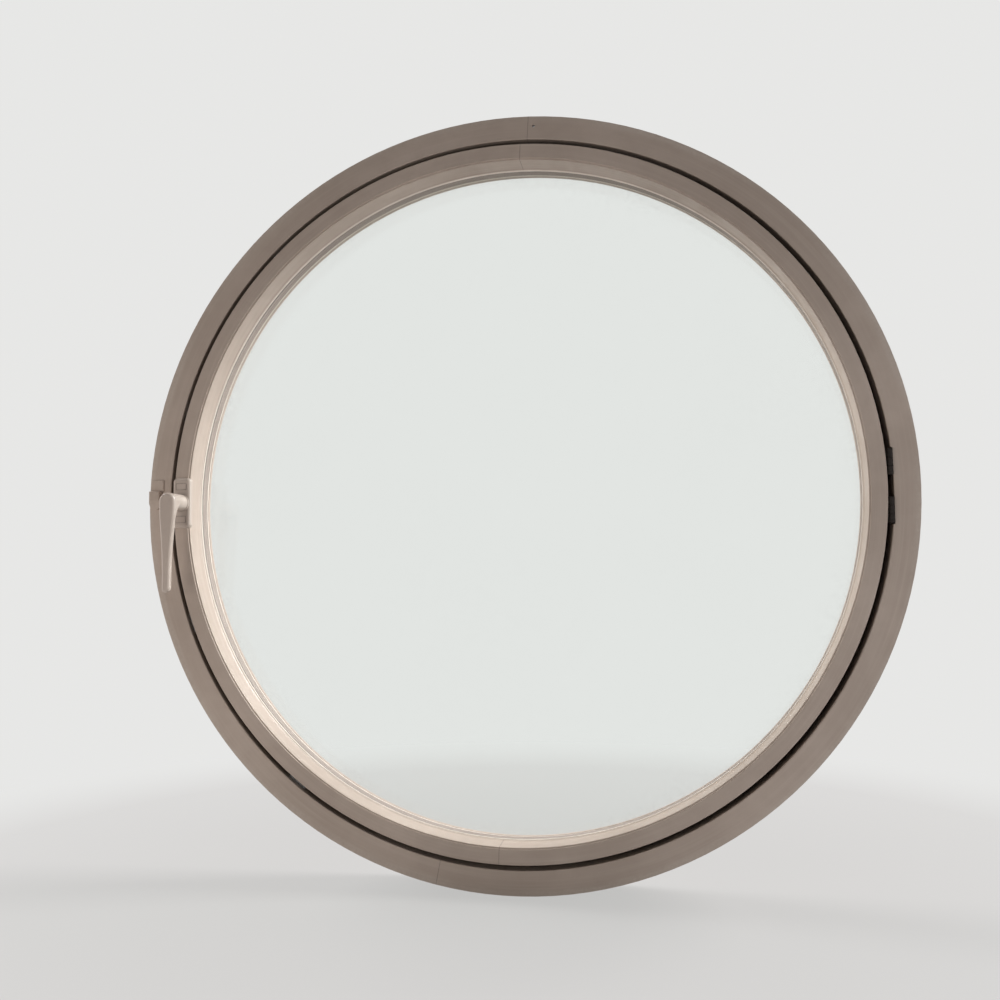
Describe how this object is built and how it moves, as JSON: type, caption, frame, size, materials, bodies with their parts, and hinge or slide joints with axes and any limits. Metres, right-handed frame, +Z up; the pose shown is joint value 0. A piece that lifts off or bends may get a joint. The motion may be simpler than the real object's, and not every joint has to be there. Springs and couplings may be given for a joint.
{
  "type": "round window",
  "caption": "Round side-hung window: slim round sash with clear insulating glass and a lever handle, in a round frame.",
  "frame": {"origin": "centre of the frame's circle, in the plane of its room face", "axes": "+X right as seen from the room, +Y from the room to the outdoors, +Z up"},
  "size_m": [0.9739, 0.1205, 0.9738],
  "materials": {
    "profile": "satin powder coat, warm stone white",
    "sleeve": "mill finish",
    "handle": "satin powder coat, a little lighter",
    "glass": "clear float glass",
    "spacer": "mill finish",
    "sealant": "matt sealant",
    "pale_seal": "matt pale seal",
    "dark_seal": "matt black rubber",
    "packer": "moulded plastic",
    "lock_steel": "zinc-plated steel",
    "screws": "zinc-plated steel",
    "hinge_metal": "dark satin"
  },
  "bodies": {
    "frame": {"frame_right": "profile", "frame_left": "profile", "frame_joiner_top": "sleeve", "frame_joiner_bottom": "sleeve", "frame_seal": "dark_seal", "keep_1": "lock_steel", "keep_2": "lock_steel", "keep_3": "lock_steel", "keep_4": "lock_steel", "keep_screws": "screws", "lug": "profile", "lug_screw": "screws", "hinge_lower_frame_leaf": "hinge_metal", "hinge_upper_frame_leaf": "hinge_metal", "hinge_lower_pin": "hinge_metal", "hinge_upper_pin": "hinge_metal", "hinge_screws_frame": "screws"},
    "sash": {"sash_right": "profile", "sash_left": "profile", "sash_joiner_top": "sleeve", "sash_joiner_bottom": "sleeve", "pane_inner": "glass", "pane_outer": "glass", "spacer_bar": "spacer", "edge_sealant": "sealant", "glass_seal_inner": "pale_seal", "glass_seal_outer": "dark_seal", "glass_packers": "packer", "bead_right": "profile", "bead_left": "profile", "gearbox_case": "lock_steel", "handle_base": "handle", "handle_screws": "screws", "hinge_lower_sash_leaf": "hinge_metal", "hinge_upper_sash_leaf": "hinge_metal", "hinge_screws_sash": "screws"},
    "handle": {"handle_lever": "handle", "spindle": "lock_steel", "pinion": "lock_steel"},
    "rail": {"drive_rail": "lock_steel", "cam_1": "lock_steel", "cam_2": "lock_steel", "cam_3": "lock_steel", "cam_4": "lock_steel"}
  },
  "joints": [
    {"name": "sash_swing", "type": "hinge", "parent": "frame", "child": "sash", "pos_m": [0.4535, -0.001, 0], "axis": [0, 0, 1], "range_deg": [0, 90]},
    {"name": "handle_turn", "type": "hinge", "parent": "sash", "child": "handle", "pos_m": [-0.4357, 0, 0], "axis": [0, -1, 0], "range_deg": [0, 90]},
    {"name": "rail_slide", "type": "hinge", "parent": "sash", "child": "rail", "pos_m": [0, 0, 0], "axis": [0, -1, 0], "range_deg": [0, 1.82]}
  ],
  "couplings": [
    {"joint": "rail_slide", "follows": "handle_turn", "ratio": 0.020238}
  ]
}
